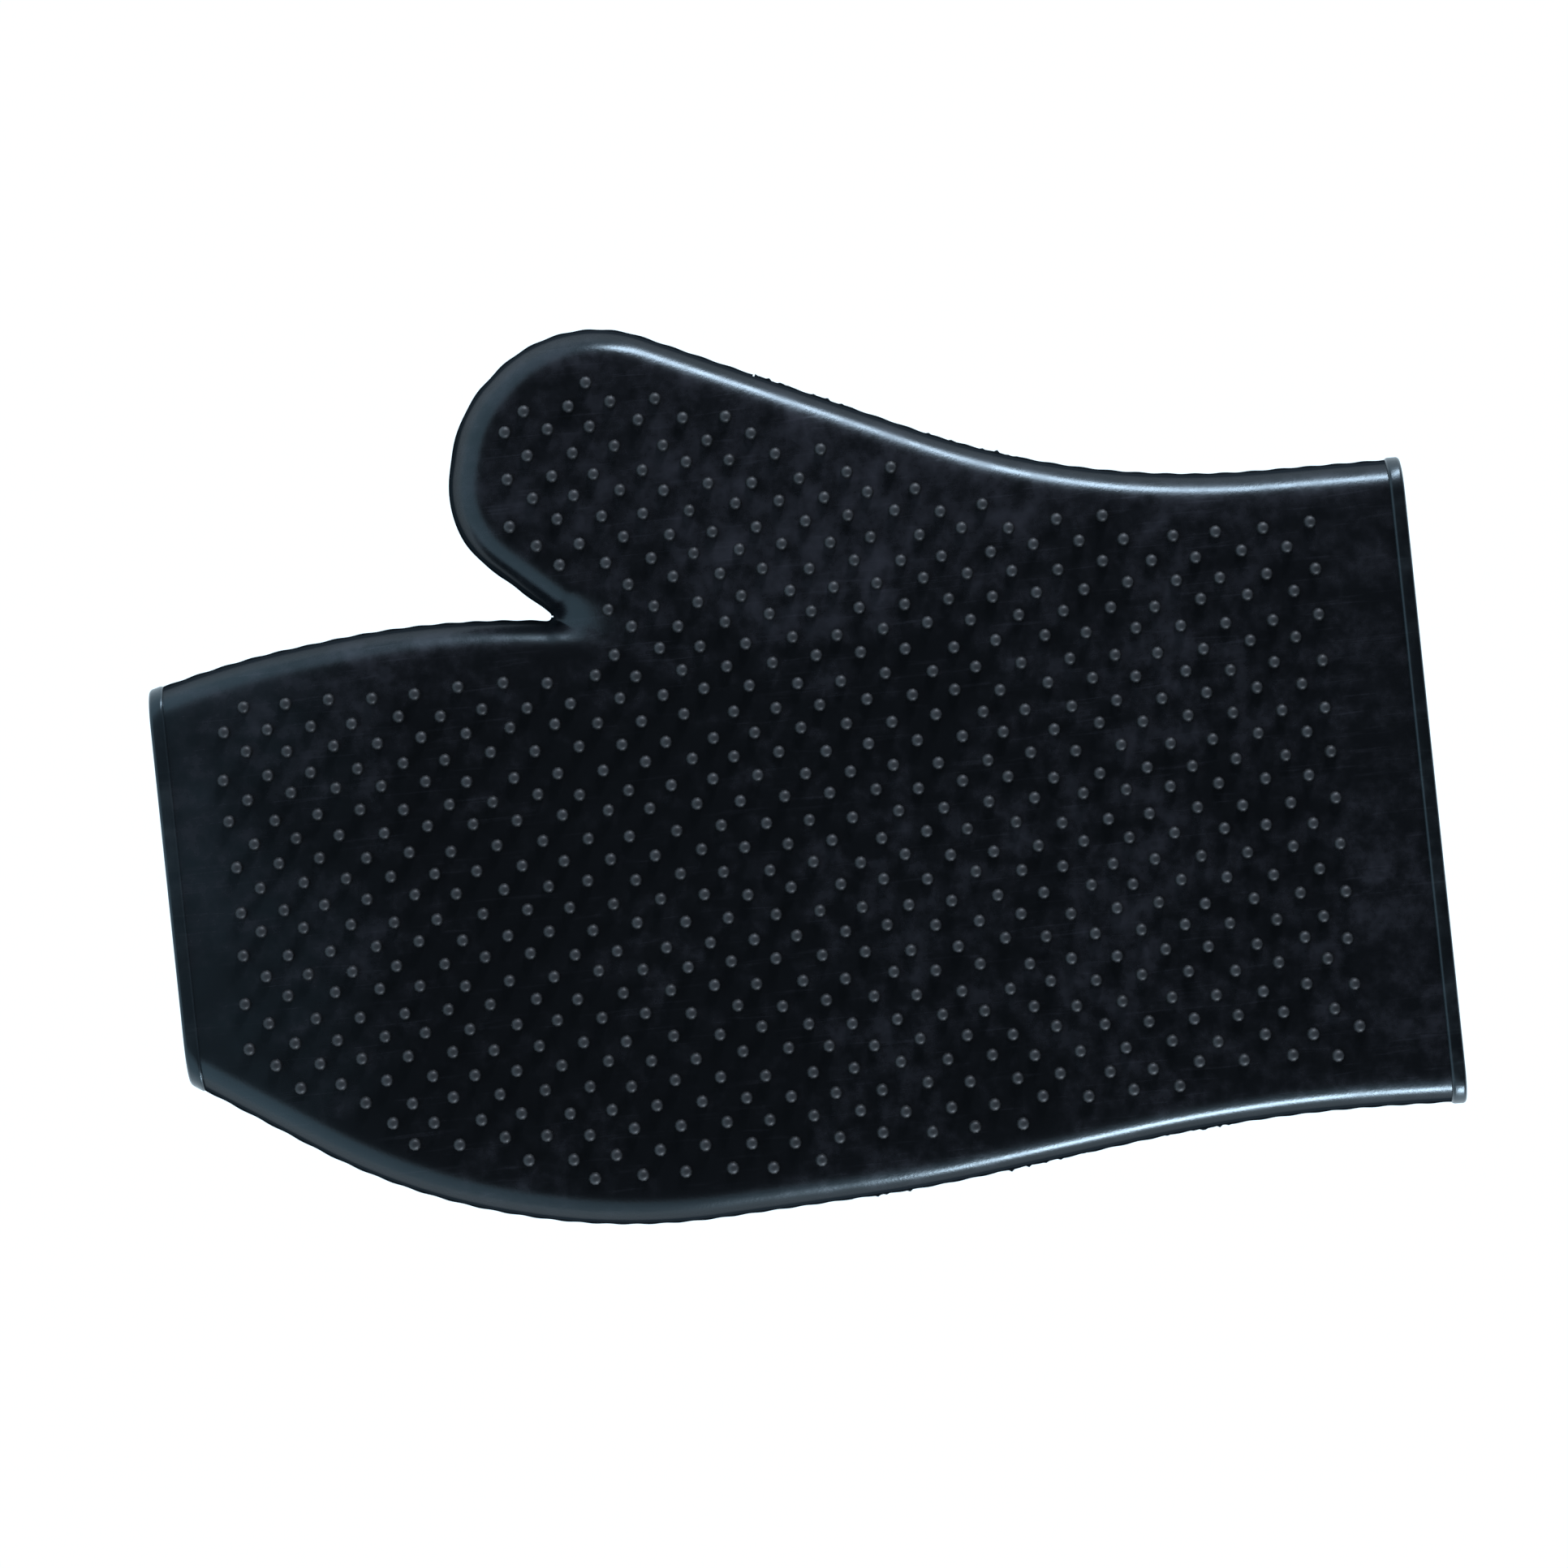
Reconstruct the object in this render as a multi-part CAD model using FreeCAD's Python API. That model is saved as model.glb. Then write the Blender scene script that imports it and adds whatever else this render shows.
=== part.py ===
"""Rubber grooming mitt: a flat moulded tube with a thumb, open at the wrist and at the fingertips.

Frame: +X runs from the finger end to the cuff, +Y towards the thumb, +Z up from the resting
face to the palm side.  The origin is the centre of the bounding box's underside.

The mitt is vulcanised in a two-part mould round a flat core, so it has a palm half and a back
half that meet at a parting seam, a bead round each mouth, fine nubs on the palm side and
coarse nubs on the back.  It folds across the fingers and across the root of the thumb, and
each half is divided there.
"""

import FreeCAD
import Part

import math
import os

# ---------------------------------------------------------------- driving dimensions, in mm
LENGTH = 257.0              # finger end to cuff end
CUFF_WIDTH = 130.5          # flat width of the wrist mouth
FINGER_END_WIDTH = 79.0     # flat width of the fingertip mouth
FINGER_END_OFFSET = 5.0     # fingertip mouth's centre, towards the thumb from the cuff's centre
WRIST_SETBACK = 65.0        # cuff end to the bend where the thumb side leaves the cuff
THUMB_REACH = 108.4         # cuff centreline to the top of the thumb
THUMB_STATION = 89.0        # finger end to the top of the thumb
WEB_SETBACK = 85.5          # finger end to the bottom of the notch between thumb and fingers
WEB_HEIGHT = 50.0           # cuff centreline to the bottom of the notch
PALM_DROP = 74.0            # cuff centreline to the outside of the palm, opposite the web

THICKNESS = 15.0            # the flat tube, palm face to back face, without nubs
WALL = 1.8                  # rubber wall
SHOULDER = 7.0              # rounding radius of the long edges, outside
SEAM_THICKNESS = 0.6        # rubber layer where the two halves are fused
SEAM_PROUD = 0.6            # flash standing out of the parting line
BEAD_WIDTH = 3.0            # bead round each mouth, along X
BEAD_PROUD = 0.7            # how far the bead stands out of the wall

NUB_PITCH = 9.1             # fine nubs, along a row
NUB_ROW = 4.61              # from one row of fine nubs to the next, which is set half a pitch over
NUB_BASE_R = 1.3            # fine nub at the wall
NUB_TIP_R = 1.0             # fine nub's rounded tip
NUB_HEIGHT = 1.8            # fine nub, wall to tip
NUB_MARGIN = 8.8            # outline to the nearest fine nub's centre
NUB_FINGER_MARGIN = 12.5    # fingertip mouth to the nearest nub's centre
NUB_CUFF_MARGIN = 18.5      # wrist mouth to the nearest nub's centre
COARSE_STEP = 2             # coarse nubs take every second place of the fine pattern each way
COARSE_BASE_R = 2.6         # coarse nub at the wall
COARSE_TIP_R = 1.4          # coarse nub's flat tip
COARSE_HEIGHT = 3.0         # coarse nub, wall to tip
COARSE_MARGIN = 10.5        # outline to the nearest coarse nub's centre

PATTERN_SETBACK = 130.6     # finger end to the nub that anchors the whole pattern
PATTERN_HEIGHT = 23.7       # cuff centreline to the same nub
PATTERN_TILT = -1.1         # degrees from the frame's X axis to a row of nubs

FINGER_FOLD_SETBACK = 16.0  # notch to the fold across the fingers, which lies between nub columns
THUMB_FOLD_SETBACK = 11.0   # notch to the fold across the thumb, which lies between nub diagonals
THUMB_FOLD_CLEAR = 2.5      # index side of the outline to where the thumb's fold starts

# ---------------------------------------------------------------- derived sizes
HALF = THICKNESS / 2
HALF_DEPTH = HALF - SEAM_THICKNESS / 2            # one half shell, from the seam to its face
MID_Z = COARSE_HEIGHT + HALF                      # height of the parting seam
OVERRUN = 20.0                                    # the tube is made past each mouth, then cut
BIG = 600.0                                       # larger than the mitt in any direction
FOLD_CLEAR = 0.2                                  # nub edge to the nearest fold line


def vec(x, y, z=0.0):
    return FreeCAD.Vector(x, y, z)


# ---------------------------------------------------------------- outline
def outline_points():
    """Corners of the outline, anticlockwise from the cuff's thumb side: x from the finger end,
    y from the cuff's centreline, and how much of the shorter neighbouring run the rounding takes."""
    half_cuff, half_end = CUFF_WIDTH / 2, FINGER_END_WIDTH / 2
    index_corner = FINGER_END_OFFSET + half_end
    little_corner = FINGER_END_OFFSET - half_end
    wrist = LENGTH - WRIST_SETBACK
    thumb_rise = THUMB_REACH - WEB_HEIGHT
    return [
        (LENGTH, half_cuff, 0.0),
        (wrist, half_cuff + 1.2, 0.56),                                 # wrist, thumb side
        (THUMB_STATION + 1.0, THUMB_REACH + 5.1, 0.65),                 # thumb, outer side
        (THUMB_STATION - 20.4, WEB_HEIGHT + 0.762 * thumb_rise, 0.33),               # thumb tip
        (THUMB_STATION - 26.5, WEB_HEIGHT + 0.358 * thumb_rise, 0.50),               # thumb, inner side
        (WEB_SETBACK, WEB_HEIGHT, 0.14),                                # notch
        (WEB_SETBACK - 27.4, WEB_HEIGHT + 3.3, 0.76),                   # index knuckle
        (18.0, index_corner + 4.5, 0.68),                               # index finger
        (0.0, index_corner, 0.0),
        (0.0, little_corner, 0.0),
        (42.0, 11.5 - PALM_DROP, 0.50),                                 # little finger
        (WEB_SETBACK - 1.0, 0.3 - PALM_DROP, 0.45),                     # outside of the palm
        (WEB_SETBACK + 60.5, 2.5 - PALM_DROP, 0.22),                    # heel of the hand
        (LENGTH - 41.0, 1.7 - half_cuff, 0.66),                         # wrist, little-finger side
        (LENGTH, -half_cuff, 0.0),
    ]


def tangent_lengths(points):
    """Length of each corner's tangents, from the corner to where its arc begins."""
    corners = [vec(x, y) for x, y, share in points]
    count = len(points)
    lengths = []
    for i in range(count):
        shorter = min((corners[i - 1] - corners[i]).Length, (corners[(i + 1) % count] - corners[i]).Length)
        lengths.append(points[i][2] * shorter)
    return lengths


def extended(points):
    """The same corners with the two mouths moved outwards along the sides' own directions."""
    corners = [vec(x, y) for x, y, share in points]
    out = list(corners)
    for i, inner in ((0, 1), (8, 7), (9, 10), (14, 13)):
        run = corners[i] - corners[inner]
        out[i] = corners[i] + run * (OVERRUN / abs(run.x))
    return out


def rounded_wire(points, tangents, shift):
    """Closed wire of straight runs joined by tangent arcs."""
    corners = []
    count = len(points)
    for i in range(count):
        here = points[i] + shift
        to_before = points[i - 1] - points[i]
        to_after = points[(i + 1) % count] - points[i]
        tangent = tangents[i]
        if tangent == 0.0:
            corners.append((here, here, here))
            continue
        start = here + to_before.normalize() * tangent
        end = here + to_after.normalize() * tangent
        half_turn = (math.pi - to_before.getAngle(to_after)) / 2
        radius = tangent / math.tan(half_turn)
        bisector = (to_before + to_after).normalize()
        middle = here + bisector * (radius / math.cos(half_turn) - radius)
        corners.append((start, middle, end))
    edges = []
    for i in range(count):
        start, middle, end = corners[i]
        if (end - start).Length > 1e-6:
            edges.append(Part.Arc(start, middle, end).toShape())
        following = corners[(i + 1) % count][0]
        edges.append(Part.LineSegment(end, following).toShape())
    return Part.Wire(edges)


POINTS = outline_points()
TANGENTS = tangent_lengths(POINTS)
AT_ORIGIN = rounded_wire([vec(x, y) for x, y, share in POINTS], TANGENTS, vec(0, 0))
SHIFT = vec(-LENGTH / 2, -(AT_ORIGIN.BoundBox.YMin + AT_ORIGIN.BoundBox.YMax) / 2)
TUBE = rounded_wire(extended(POINTS), TANGENTS, SHIFT)
FINGER_END = -LENGTH / 2
CUFF_END = LENGTH / 2
WEB = vec(WEB_SETBACK, WEB_HEIGHT) + SHIFT


# ---------------------------------------------------------------- nub pattern and fold lines
TILT = math.radians(PATTERN_TILT)
ALONG = vec(math.cos(TILT), math.sin(TILT))                           # along a row of nubs
ACROSS = vec(-math.sin(TILT), math.cos(TILT))                         # from row to row
PATTERN = vec(FINGER_END + PATTERN_SETBACK, PATTERN_HEIGHT) + vec(0, SHIFT.y)
DIAGONAL = (ALONG * NUB_PITCH / 2 + ACROSS * NUB_ROW).normalize()     # a diagonal line of nubs


def fold_between(outward, setback, spacing):
    """Distance from the origin to the gap between lines of nubs nearest to the wanted fold."""
    wanted = WEB.dot(outward) + setback
    anchor = PATTERN.dot(outward)
    lines = math.floor((wanted - anchor) / spacing)
    return anchor + (lines + 0.5) * spacing


FINGER_FOLD_OUT = -ALONG                                              # towards the fingertips
FINGER_FOLD_AT = fold_between(FINGER_FOLD_OUT, FINGER_FOLD_SETBACK, NUB_PITCH / 2)
THUMB_FOLD_OUT = vec(-DIAGONAL.y, DIAGONAL.x)                         # towards the thumb's tip
THUMB_FOLD_AT = fold_between(THUMB_FOLD_OUT, THUMB_FOLD_SETBACK, NUB_PITCH * ALONG.cross(DIAGONAL).z)
THUMB_FOLD_ABOVE = POINTS[6][1] + SHIFT.y + THUMB_FOLD_CLEAR


def half_space(normal, distance):
    """Solid on the far side of the vertical plane whose unit normal and distance are given."""
    across = vec(-normal.y, normal.x)
    foot = normal * distance
    corners = [foot - across * BIG, foot + across * BIG,
               foot + across * BIG + normal * BIG, foot - across * BIG + normal * BIG]
    face = Part.Face(Part.makePolygon(corners + corners[:1]))
    face.translate(vec(0, 0, -BIG))
    return face.extrude(vec(0, 0, 2 * BIG))


BEYOND_FINGER_FOLD = half_space(FINGER_FOLD_OUT, FINGER_FOLD_AT)
BEYOND_THUMB_FOLD = half_space(THUMB_FOLD_OUT, THUMB_FOLD_AT).common(
    Part.makeBox(BIG, BIG, 2 * BIG, vec(-BIG / 2, THUMB_FOLD_ABOVE, -BIG)))


def by_section(shape):
    """The hand, fingers and thumb sections of a shape."""
    thumb = shape.common(BEYOND_THUMB_FOLD)
    rest = shape.cut(BEYOND_THUMB_FOLD)
    return {"hand": rest.cut(BEYOND_FINGER_FOLD), "fingers": rest.common(BEYOND_FINGER_FOLD),
            "thumb": thumb}


# ---------------------------------------------------------------- half shells, seam and beads
def offset_wire(distance):
    return TUBE if distance == 0 else TUBE.makeOffset2D(distance, 2, False, False, False)


def prism(wire, low, high):
    face = Part.Face(wire)
    face.translate(vec(0, 0, low))
    return face.extrude(vec(0, 0, high - low))


def pillow_half(grow):
    """Upper half of the tube's rounded solid, from the seam up, grown by a wall or a bead."""
    height = HALF_DEPTH + grow
    base = SEAM_THICKNESS / 2
    block = prism(offset_wire(grow), base, base + height)
    top = [e for e in block.Edges if e.BoundBox.ZMin > base + height - 1e-3]
    rims = [e for e in top if e.BoundBox.XLength > 1e-3]
    return block.makeFillet(min(SHOULDER + grow, height - 0.1), rims)


def slab(low, high):
    return Part.makeBox(high - low, BIG, BIG, vec(low, -BIG / 2, -BIG / 2))


def flipped(shape):
    """Mirror image in the seam's plane, which turns a palm half into a back half."""
    return shape.mirror(vec(0, 0, 0), vec(0, 0, 1))


def solids_of(shape, name):
    """The solids of a cut result as one shape, lifted to the mitt's height."""
    found = [s for s in shape.Solids if s.Volume > 1e-3]
    if not found:
        raise ValueError("nothing left of " + name)
    kept = found[0] if len(found) == 1 else Part.makeCompound(found)
    kept.translate(vec(0, 0, MID_Z))
    return kept


def make_shells(parts):
    cavity = pillow_half(-WALL)
    shell = pillow_half(0).cut(cavity)
    shell = shell.common(slab(FINGER_END + BEAD_WIDTH, CUFF_END - BEAD_WIDTH))
    for section, piece in by_section(shell).items():
        parts[section + "_palm_shell"] = solids_of(piece.copy(), section)
        parts[section + "_back_shell"] = solids_of(flipped(piece), section)


def make_beads(parts):
    ring = pillow_half(BEAD_PROUD).cut(pillow_half(-WALL))
    ends = {"cuff": slab(CUFF_END - BEAD_WIDTH, CUFF_END), "finger": slab(FINGER_END, FINGER_END + BEAD_WIDTH)}
    for end, place in ends.items():
        bead = ring.common(place)
        parts[end + "_bead_palm"] = solids_of(bead.copy(), end)
        parts[end + "_bead_back"] = solids_of(flipped(bead), end)


def make_seams(parts):
    half = SEAM_THICKNESS / 2
    band = prism(offset_wire(SEAM_PROUD), -half, half).cut(prism(offset_wire(-WALL), -half, half))
    sections = by_section(band.common(slab(FINGER_END, CUFF_END)))
    for section, piece in sections.items():
        for strip in piece.Solids:
            middle = strip.CenterOfMass
            if section == "thumb":
                name = "seam_thumb"
            elif middle.y < 0:
                name = "seam_" + section + "_little_side"
            elif strip.BoundBox.XMax < WEB.x + 2 * SHOULDER and section == "hand":
                name = "seam_web"
            else:
                name = "seam_" + section + "_thumb_side"
            parts[name] = solids_of(strip, name)


# ---------------------------------------------------------------- nubs
def fine_nub():
    """Short taper with a rounded tip, standing on z = 0."""
    rise = NUB_HEIGHT - NUB_TIP_R
    profile = [Part.LineSegment(vec(0, 0, 0), vec(NUB_BASE_R, 0, 0)).toShape(),
               Part.LineSegment(vec(NUB_BASE_R, 0, 0), vec(NUB_TIP_R, 0, rise)).toShape(),
               Part.Arc(vec(NUB_TIP_R, 0, rise),
                        vec(NUB_TIP_R * math.sqrt(0.5), 0, rise + NUB_TIP_R * math.sqrt(0.5)),
                        vec(0, 0, NUB_HEIGHT)).toShape(),
               Part.LineSegment(vec(0, 0, NUB_HEIGHT), vec(0, 0, 0)).toShape()]
    return Part.Face(Part.Wire(profile)).revolve(vec(0, 0, 0), vec(0, 0, 1), 360)


def coarse_nub():
    """Blunt cone hanging from the back face, with its flat tip on z = 0."""
    return Part.makeCone(COARSE_TIP_R, COARSE_BASE_R, COARSE_HEIGHT)


def nub_places(step, offset, radius, margin):
    """Centres of a staggered pattern inside the outline, clear of the mouths and the fold lines."""
    field = Part.Face(offset_wire(-margin))
    reach_y = AT_ORIGIN.BoundBox.YLength / 2
    columns = int(LENGTH / NUB_PITCH) + 3
    rows = int(reach_y / NUB_ROW) + 3
    places = []
    for row in range(-rows, rows + 1):
        for column in range(-columns, columns + 1):
            if (row + column) % 2:
                continue
            spot = PATTERN + offset + (ALONG * column * NUB_PITCH / 2 + ACROSS * row * NUB_ROW) * step
            if not FINGER_END + NUB_FINGER_MARGIN < spot.x < CUFF_END - NUB_CUFF_MARGIN:
                continue
            if abs(spot.y) > reach_y:
                continue
            if not field.isInside(spot, 1e-3, False):
                continue
            if section_at(spot, radius):
                places.append(spot)
    return places


def section_at(spot, radius):
    """The section a nub stands on, or nothing if its foot would straddle a fold line."""
    past_thumb = spot.dot(THUMB_FOLD_OUT) - THUMB_FOLD_AT
    past_finger = spot.dot(FINGER_FOLD_OUT) - FINGER_FOLD_AT
    keep_off = radius + FOLD_CLEAR
    near_thumb = spot.y > THUMB_FOLD_ABOVE
    if near_thumb and abs(past_thumb) < keep_off:
        return None
    if near_thumb and past_thumb > 0:
        return "thumb"
    if abs(past_finger) < keep_off:
        return None
    return "fingers" if past_finger > 0 else "hand"


def make_nubs(parts):
    between = ACROSS * NUB_ROW / 2 - ALONG * NUB_PITCH / 4      # keeps coarse nubs off the folds
    fine, coarse = fine_nub(), coarse_nub()
    groups = {}
    for spot in nub_places(1, vec(0, 0), NUB_BASE_R, NUB_MARGIN):
        nub = fine.copy()
        nub.translate(spot + vec(0, 0, MID_Z + HALF))
        groups.setdefault(section_at(spot, NUB_BASE_R) + "_fine_nubs", []).append(nub)
    for spot in nub_places(COARSE_STEP, between, COARSE_BASE_R, COARSE_MARGIN):
        nub = coarse.copy()
        nub.translate(spot)
        groups.setdefault(section_at(spot, COARSE_BASE_R) + "_coarse_nubs", []).append(nub)
    for name, nubs in groups.items():
        parts[name] = Part.makeCompound(nubs)


os.makedirs("parts", exist_ok=True)
nodes = {}
make_shells(nodes)
make_beads(nodes)
make_seams(nodes)
make_nubs(nodes)
for node, shape in sorted(nodes.items()):
    shape.exportStep("parts/" + node + ".step")
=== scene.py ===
import math

import bmesh
import bpy
import numpy as np
from mathutils import Matrix, Vector
from mathutils.geometry import delaunay_2d_cdt


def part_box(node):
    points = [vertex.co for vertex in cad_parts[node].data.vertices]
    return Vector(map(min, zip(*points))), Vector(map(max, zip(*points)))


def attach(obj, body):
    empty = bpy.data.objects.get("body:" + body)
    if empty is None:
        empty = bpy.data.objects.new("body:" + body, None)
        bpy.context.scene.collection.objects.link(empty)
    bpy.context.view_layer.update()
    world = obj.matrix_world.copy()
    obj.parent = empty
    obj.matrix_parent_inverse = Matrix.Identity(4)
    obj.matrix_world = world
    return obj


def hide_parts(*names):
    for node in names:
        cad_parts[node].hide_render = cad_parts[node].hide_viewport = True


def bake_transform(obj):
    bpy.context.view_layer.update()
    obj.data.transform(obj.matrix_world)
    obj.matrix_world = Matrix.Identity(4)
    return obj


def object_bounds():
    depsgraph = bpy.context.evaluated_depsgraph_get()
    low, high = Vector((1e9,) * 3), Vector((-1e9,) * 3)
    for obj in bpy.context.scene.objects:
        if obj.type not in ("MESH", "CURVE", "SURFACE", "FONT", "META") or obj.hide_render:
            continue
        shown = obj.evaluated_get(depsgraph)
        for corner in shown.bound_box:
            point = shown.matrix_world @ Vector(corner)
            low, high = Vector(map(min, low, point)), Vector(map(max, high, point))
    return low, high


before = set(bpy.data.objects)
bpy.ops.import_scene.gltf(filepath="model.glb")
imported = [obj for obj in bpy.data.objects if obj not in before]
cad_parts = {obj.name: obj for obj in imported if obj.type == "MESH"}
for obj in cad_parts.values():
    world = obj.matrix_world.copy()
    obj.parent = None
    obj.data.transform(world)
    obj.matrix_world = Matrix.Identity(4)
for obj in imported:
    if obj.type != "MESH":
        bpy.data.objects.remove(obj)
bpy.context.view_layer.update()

# ---------------------------------------------------------------- outline of the mitt
# The mitt is one flat moulded tube of black rubber with a thumb.  Its outline is straight runs
# joined by tangent arcs, the shape that was cut into the mould's parting face.

mm = 0.001
finger_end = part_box("finger_bead_palm")[0].x
cuff_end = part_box("cuff_bead_palm")[1].x
back_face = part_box("hand_back_shell")[0].z
palm_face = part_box("hand_palm_shell")[1].z
parting_z = (back_face + palm_face) / 2

# Corners in mm from the frame's origin, each with its rounding radius, from the cuff round the
# thumb to the fingertip mouth, and back along the little finger's side.
thumb_side_corners = [(128.5, 47.5, 0), (63.7, 48.8, 173), (-38.5, 95.9, 28.4), (-59.9, 76.9, 26.4),
                      (-66.0, 53.3, 20.2), (-43.0, 32.4, 1.2), (-70.4, 35.7, 184), (-110.5, 31.4, 182),
                      (-128.5, 26.9, 0)]
little_side_corners = [(128.5, -82.9, 0), (87.5, -81.2, 350), (17.5, -89.1, 350), (-44.0, -91.4, 134),
                       (-86.5, -80.1, 132), (-128.5, -52.1, 0)]
beyond_mouth = 12 * mm


def rounded_run(corners, spacing):
    """Points and left-hand normals along straight runs joined by arcs, run on past both ends."""
    nodes = [Vector((x, y)) * mm for x, y, radius in corners]
    nodes[0] += (nodes[0] - nodes[1]).normalized() * beyond_mouth
    nodes[-1] += (nodes[-1] - nodes[-2]).normalized() * beyond_mouth
    points, normals = [], []

    def straight(start, end):
        steps = max(1, math.ceil((end - start).length / spacing))
        heading = (end - start).normalized()
        for step in range(steps):
            points.append(start.lerp(end, step / steps))
            normals.append(Vector((-heading.y, heading.x)))

    begin = nodes[0]
    for before, here, after, (x, y, radius) in zip(nodes, nodes[1:], nodes[2:], corners[1:]):
        arriving, leaving = (here - before).normalized(), (after - here).normalized()
        turn = arriving.angle_signed(leaving)                   # clockwise is positive
        tangent = radius * mm * math.tan(abs(turn) / 2)
        start = here - arriving * tangent
        straight(begin, start)
        steps = max(math.ceil(abs(turn) / math.radians(6)), math.ceil(radius * mm * abs(turn) / spacing))
        side = Vector((arriving.y, -arriving.x)) * math.copysign(1, turn)
        centre = start + side * radius * mm
        for step in range(steps):
            angle = -turn * step / steps
            spin = np.array([[math.cos(angle), -math.sin(angle)], [math.sin(angle), math.cos(angle)]])
            points.append(centre + Vector(spin @ np.array(start - centre)))
            heading = Vector(spin @ np.array(arriving))
            normals.append(Vector((-heading.y, heading.x)))
        begin = here + leaving * tangent
    straight(begin, nodes[-1])
    points.append(nodes[-1])
    normals.append(normals[-1])
    return np.array(points), np.array(normals)


thumb_side, thumb_side_inward = rounded_run(thumb_side_corners, 1.5 * mm)
little_side, little_side_outward = rounded_run(little_side_corners, 1.5 * mm)
thumb_side_outward = -thumb_side_inward

# ---------------------------------------------------------------- palm and back skins
# Each half of the mitt is a moulded rubber wall, flat in the middle with rounded long edges.
# The palm half and the back half were fused along the parting line.  The thumb's skins are
# pieces of their own, joined to the hand's along the thumb's root.

wall = 1.8 * mm
shoulder = 7.0 * mm
shoulder_height = (palm_face - back_face) / 2
parting_gap = 0.25 * mm
shoulder_rows = 11
cuff_bead_width = 3.0 * mm
finger_bead_width = 3.0 * mm
bead_lap = 0.4 * mm                # how far a skin runs on under its bead
crisp_edge = math.radians(50)      # edges bent more than this are shaded sharp
coarse_grid, fine_grid = 3 * mm, 1.1 * mm
fine_grid_reach = 25 * mm          # the finer grid covers the crease beyond the notch
web_notch = Vector((-45.55, 33.56)) * mm
thumb_way = Vector((-0.69811, 0.71599))          # from the thumb's root towards its tip
above_web = Vector((0.413, 0.911))               # across the notch, towards the thumb


def sag(x, y):
    """Slight unevenness of a soft wall lying flat, in metres."""
    slow = np.sin(x / (31 * mm) + 0.8) * np.sin(y / (27 * mm) + 1.9)
    quick = np.sin(x / (13 * mm) - y / (19 * mm)) * np.sin(y / (11 * mm) + x / (23 * mm))
    return 0.16 * mm * slow + 0.05 * mm * quick


notch_centre = np.array((-46.7, 33.95)) * mm       # centre of the notch's small rounding
notch_radius = 1.2 * mm
valley_way = np.array((0.914, -0.406))            # the crease that runs on from the notch
valley_reach = 20.0 * mm
valley_spread = math.radians(70)


def valley(x, y):
    """How far the crease beyond the notch lowers the wall at each place."""
    away = np.stack([x, y], axis=-1) - notch_centre
    distance = np.hypot(away[..., 0], away[..., 1])
    turned = np.arccos(np.clip(away @ valley_way / np.maximum(distance, 1e-9), -1, 1))
    thumb_flank = valley_way[0] * away[..., 1] > valley_way[1] * away[..., 0]
    steepness = np.where(thumb_flank, 1.2, 3.0)       # gentle towards the thumb, abrupt to the fingers
    pull = np.clip(1 - turned / valley_spread, 0, 1) ** steepness * (valley_reach / shoulder - 1)
    margin = np.maximum(distance - notch_radius, 0)

    def rise_at(depth):
        return shoulder_height * np.sqrt(1 - (1 - np.minimum(depth / shoulder, 1)) ** 2)
    return rise_at(margin) - rise_at(margin / (1 + pull))


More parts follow.
